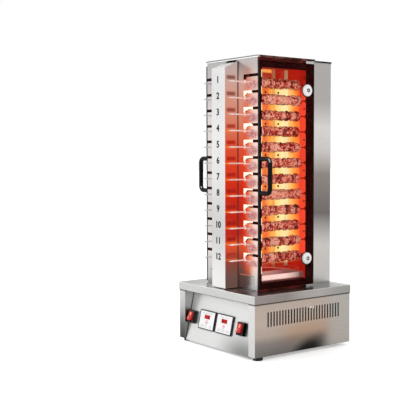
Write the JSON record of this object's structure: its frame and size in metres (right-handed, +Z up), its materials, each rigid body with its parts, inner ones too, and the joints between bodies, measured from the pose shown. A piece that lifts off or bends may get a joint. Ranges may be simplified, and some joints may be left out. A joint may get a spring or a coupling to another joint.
{
  "type": "electric skewer grill",
  "caption": "Upright electric grill on a square base with tilted controls: two glass-doored chambers of turning meat skewers beside a numbered column, with slide-out drip drawers.",
  "frame": {"origin": "on the floor, under the middle of the square base", "axes": "+Z up, -Y the front with the numbered column and the controls, +X the chamber on the viewer's right"},
  "size_m": [0.47, 0.4629, 1.068],
  "materials": {
    "brushed": "fine vertical brushing, satin",
    "mirror_steel": "bright polished stainless sheet",
    "rubber": "moulded, matt",
    "gland": "moulded polyamide",
    "switch_black": "moulded, half gloss",
    "rocker_red": "moulded, translucent red",
    "controller_grey": "fine-grained moulding with a printed keypad",
    "relay_black": "moulded",
    "quartz": "glowing orange behind clear quartz",
    "ceramic": "unglazed ceramic",
    "door_glass": "clear toughened pane",
    "frame_black": "black enamel border with rubber teeth",
    "handle_black": "black heat-proof coating, half gloss",
    "hinge_white": "polished discs on black gaskets",
    "motor_steel": "grey enamel",
    "chain_steel": "oiled",
    "skewered_meat": "seared meat on a steel rod"
  },
  "bodies": {
    "cabinet": {"base_top_plate": "brushed", "base_side_left": "brushed", "base_side_right": "brushed", "base_rear_panel": "brushed", "base_floor_plate": "brushed", "control_panel": "brushed", "rubber_feet": "rubber", "cable_gland": "gland", "switch_housings": "switch_black", "temperature_controllers": "controller_grey", "power_relays": "relay_black", "number_column": "mirror_steel", "front_wall_left": "brushed", "front_wall_right": "brushed", "core_reflectors": "mirror_steel", "heater_tubes": "quartz", "heater_holders": "ceramic", "rear_walls": "brushed", "rear_housing": "brushed", "roof_plate": "brushed", "door_rails": "brushed", "drip_deflectors": "brushed", "drive_motors": "motor_steel", "drive_chains": "chain_steel"},
    "door_left": {"door_glass_left": "door_glass", "door_frame_left": "frame_black", "door_handle_left": "handle_black", "door_hinges_left": "hinge_white"},
    "door_right": {"door_glass_right": "door_glass", "door_frame_right": "frame_black", "door_handle_right": "handle_black", "door_hinges_right": "hinge_white"},
    "rocker_left": {"rocker_left": "rocker_red"},
    "rocker_right": {"rocker_right": "rocker_red"},
    "drawer_left": {"drip_drawer_left": "brushed"},
    "drawer_right": {"drip_drawer_right": "brushed"},
    "skewer_left_01": {"skewer_left_01": "skewered_meat"},
    "skewer_left_02": {"skewer_left_02": "skewered_meat"},
    "skewer_left_03": {"skewer_left_03": "skewered_meat"},
    "skewer_left_04": {"skewer_left_04": "skewered_meat"},
    "skewer_left_05": {"skewer_left_05": "skewered_meat"},
    "skewer_left_06": {"skewer_left_06": "skewered_meat"},
    "skewer_left_07": {"skewer_left_07": "skewered_meat"},
    "skewer_left_08": {"skewer_left_08": "skewered_meat"},
    "skewer_left_09": {"skewer_left_09": "skewered_meat"},
    "skewer_left_10": {"skewer_left_10": "skewered_meat"},
    "skewer_left_11": {"skewer_left_11": "skewered_meat"},
    "skewer_left_12": {"skewer_left_12": "skewered_meat"},
    "skewer_right_01": {"skewer_right_01": "skewered_meat"},
    "skewer_right_02": {"skewer_right_02": "skewered_meat"},
    "skewer_right_03": {"skewer_right_03": "skewered_meat"},
    "skewer_right_04": {"skewer_right_04": "skewered_meat"},
    "skewer_right_05": {"skewer_right_05": "skewered_meat"},
    "skewer_right_06": {"skewer_right_06": "skewered_meat"},
    "skewer_right_07": {"skewer_right_07": "skewered_meat"},
    "skewer_right_08": {"skewer_right_08": "skewered_meat"},
    "skewer_right_09": {"skewer_right_09": "skewered_meat"},
    "skewer_right_10": {"skewer_right_10": "skewered_meat"},
    "skewer_right_11": {"skewer_right_11": "skewered_meat"},
    "skewer_right_12": {"skewer_right_12": "skewered_meat"}
  },
  "joints": [
    {"name": "door_left_swing", "type": "hinge", "parent": "cabinet", "child": "door_left", "pos_m": [-0.1515, 0.096, 0.642], "axis": [0, 0, -1], "range_deg": [0, 100]},
    {"name": "door_right_swing", "type": "hinge", "parent": "cabinet", "child": "door_right", "pos_m": [0.1515, 0.096, 0.642], "axis": [0, 0, 1], "range_deg": [0, 100]},
    {"name": "rocker_left_tilt", "type": "hinge", "parent": "cabinet", "child": "rocker_left", "pos_m": [-0.172, -0.21431, 0.09907], "axis": [1, 0, 0], "range_deg": [0, 24]},
    {"name": "rocker_right_tilt", "type": "hinge", "parent": "cabinet", "child": "rocker_right", "pos_m": [0.136, -0.21431, 0.09907], "axis": [1, 0, 0], "range_deg": [0, 24]},
    {"name": "drawer_left_slide", "type": "slide", "parent": "cabinet", "child": "drawer_left", "axis": [0, -1, 0], "range_m": [0, 0.2]},
    {"name": "drawer_right_slide", "type": "slide", "parent": "cabinet", "child": "drawer_right", "axis": [0, -1, 0], "range_m": [0, 0.2]},
    {"name": "skewer_left_01_spin", "type": "hinge", "parent": "cabinet", "child": "skewer_left_01", "pos_m": [-0.078, 0, 0.9779], "axis": [0, 1, 0], "continuous": true},
    {"name": "skewer_left_02_spin", "type": "hinge", "parent": "cabinet", "child": "skewer_left_02", "pos_m": [-0.078, 0, 0.9195], "axis": [0, 1, 0], "continuous": true},
    {"name": "skewer_left_03_spin", "type": "hinge", "parent": "cabinet", "child": "skewer_left_03", "pos_m": [-0.078, 0, 0.8611], "axis": [0, 1, 0], "continuous": true},
    {"name": "skewer_left_04_spin", "type": "hinge", "parent": "cabinet", "child": "skewer_left_04", "pos_m": [-0.078, 0, 0.8027], "axis": [0, 1, 0], "continuous": true},
    {"name": "skewer_left_05_spin", "type": "hinge", "parent": "cabinet", "child": "skewer_left_05", "pos_m": [-0.078, 0, 0.7443], "axis": [0, 1, 0], "continuous": true},
    {"name": "skewer_left_06_spin", "type": "hinge", "parent": "cabinet", "child": "skewer_left_06", "pos_m": [-0.078, 0, 0.6859], "axis": [0, 1, 0], "continuous": true},
    {"name": "skewer_left_07_spin", "type": "hinge", "parent": "cabinet", "child": "skewer_left_07", "pos_m": [-0.078, 0, 0.6275], "axis": [0, 1, 0], "continuous": true},
    {"name": "skewer_left_08_spin", "type": "hinge", "parent": "cabinet", "child": "skewer_left_08", "pos_m": [-0.078, 0, 0.5691], "axis": [0, 1, 0], "continuous": true},
    {"name": "skewer_left_09_spin", "type": "hinge", "parent": "cabinet", "child": "skewer_left_09", "pos_m": [-0.078, 0, 0.5107], "axis": [0, 1, 0], "continuous": true},
    {"name": "skewer_left_10_spin", "type": "hinge", "parent": "cabinet", "child": "skewer_left_10", "pos_m": [-0.078, 0, 0.4523], "axis": [0, 1, 0], "continuous": true},
    {"name": "skewer_left_11_spin", "type": "hinge", "parent": "cabinet", "child": "skewer_left_11", "pos_m": [-0.078, 0, 0.3939], "axis": [0, 1, 0], "continuous": true},
    {"name": "skewer_left_12_spin", "type": "hinge", "parent": "cabinet", "child": "skewer_left_12", "pos_m": [-0.078, 0, 0.3355], "axis": [0, 1, 0], "continuous": true},
    {"name": "skewer_right_01_spin", "type": "hinge", "parent": "cabinet", "child": "skewer_right_01", "pos_m": [0.078, 0, 0.9779], "axis": [0, 1, 0], "continuous": true},
    {"name": "skewer_right_02_spin", "type": "hinge", "parent": "cabinet", "child": "skewer_right_02", "pos_m": [0.078, 0, 0.9195], "axis": [0, 1, 0], "continuous": true},
    {"name": "skewer_right_03_spin", "type": "hinge", "parent": "cabinet", "child": "skewer_right_03", "pos_m": [0.078, 0, 0.8611], "axis": [0, 1, 0], "continuous": true},
    {"name": "skewer_right_04_spin", "type": "hinge", "parent": "cabinet", "child": "skewer_right_04", "pos_m": [0.078, 0, 0.8027], "axis": [0, 1, 0], "continuous": true},
    {"name": "skewer_right_05_spin", "type": "hinge", "parent": "cabinet", "child": "skewer_right_05", "pos_m": [0.078, 0, 0.7443], "axis": [0, 1, 0], "continuous": true},
    {"name": "skewer_right_06_spin", "type": "hinge", "parent": "cabinet", "child": "skewer_right_06", "pos_m": [0.078, 0, 0.6859], "axis": [0, 1, 0], "continuous": true},
    {"name": "skewer_right_07_spin", "type": "hinge", "parent": "cabinet", "child": "skewer_right_07", "pos_m": [0.078, 0, 0.6275], "axis": [0, 1, 0], "continuous": true},
    {"name": "skewer_right_08_spin", "type": "hinge", "parent": "cabinet", "child": "skewer_right_08", "pos_m": [0.078, 0, 0.5691], "axis": [0, 1, 0], "continuous": true},
    {"name": "skewer_right_09_spin", "type": "hinge", "parent": "cabinet", "child": "skewer_right_09", "pos_m": [0.078, 0, 0.5107], "axis": [0, 1, 0], "continuous": true},
    {"name": "skewer_right_10_spin", "type": "hinge", "parent": "cabinet", "child": "skewer_right_10", "pos_m": [0.078, 0, 0.4523], "axis": [0, 1, 0], "continuous": true},
    {"name": "skewer_right_11_spin", "type": "hinge", "parent": "cabinet", "child": "skewer_right_11", "pos_m": [0.078, 0, 0.3939], "axis": [0, 1, 0], "continuous": true},
    {"name": "skewer_right_12_spin", "type": "hinge", "parent": "cabinet", "child": "skewer_right_12", "pos_m": [0.078, 0, 0.3355], "axis": [0, 1, 0], "continuous": true}
  ],
  "couplings": [
    {"joint": "skewer_left_01_spin", "follows": "skewer_left_12_spin", "ratio": 1},
    {"joint": "skewer_left_02_spin", "follows": "skewer_left_12_spin", "ratio": 1},
    {"joint": "skewer_left_03_spin", "follows": "skewer_left_12_spin", "ratio": 1},
    {"joint": "skewer_left_04_spin", "follows": "skewer_left_12_spin", "ratio": 1},
    {"joint": "skewer_left_05_spin", "follows": "skewer_left_12_spin", "ratio": 1},
    {"joint": "skewer_left_06_spin", "follows": "skewer_left_12_spin", "ratio": 1},
    {"joint": "skewer_left_07_spin", "follows": "skewer_left_12_spin", "ratio": 1},
    {"joint": "skewer_left_08_spin", "follows": "skewer_left_12_spin", "ratio": 1},
    {"joint": "skewer_left_09_spin", "follows": "skewer_left_12_spin", "ratio": 1},
    {"joint": "skewer_left_10_spin", "follows": "skewer_left_12_spin", "ratio": 1},
    {"joint": "skewer_left_11_spin", "follows": "skewer_left_12_spin", "ratio": 1},
    {"joint": "skewer_right_01_spin", "follows": "skewer_right_12_spin", "ratio": 1},
    {"joint": "skewer_right_02_spin", "follows": "skewer_right_12_spin", "ratio": 1},
    {"joint": "skewer_right_03_spin", "follows": "skewer_right_12_spin", "ratio": 1},
    {"joint": "skewer_right_04_spin", "follows": "skewer_right_12_spin", "ratio": 1},
    {"joint": "skewer_right_05_spin", "follows": "skewer_right_12_spin", "ratio": 1},
    {"joint": "skewer_right_06_spin", "follows": "skewer_right_12_spin", "ratio": 1},
    {"joint": "skewer_right_07_spin", "follows": "skewer_right_12_spin", "ratio": 1},
    {"joint": "skewer_right_08_spin", "follows": "skewer_right_12_spin", "ratio": 1},
    {"joint": "skewer_right_09_spin", "follows": "skewer_right_12_spin", "ratio": 1},
    {"joint": "skewer_right_10_spin", "follows": "skewer_right_12_spin", "ratio": 1},
    {"joint": "skewer_right_11_spin", "follows": "skewer_right_12_spin", "ratio": 1}
  ]
}
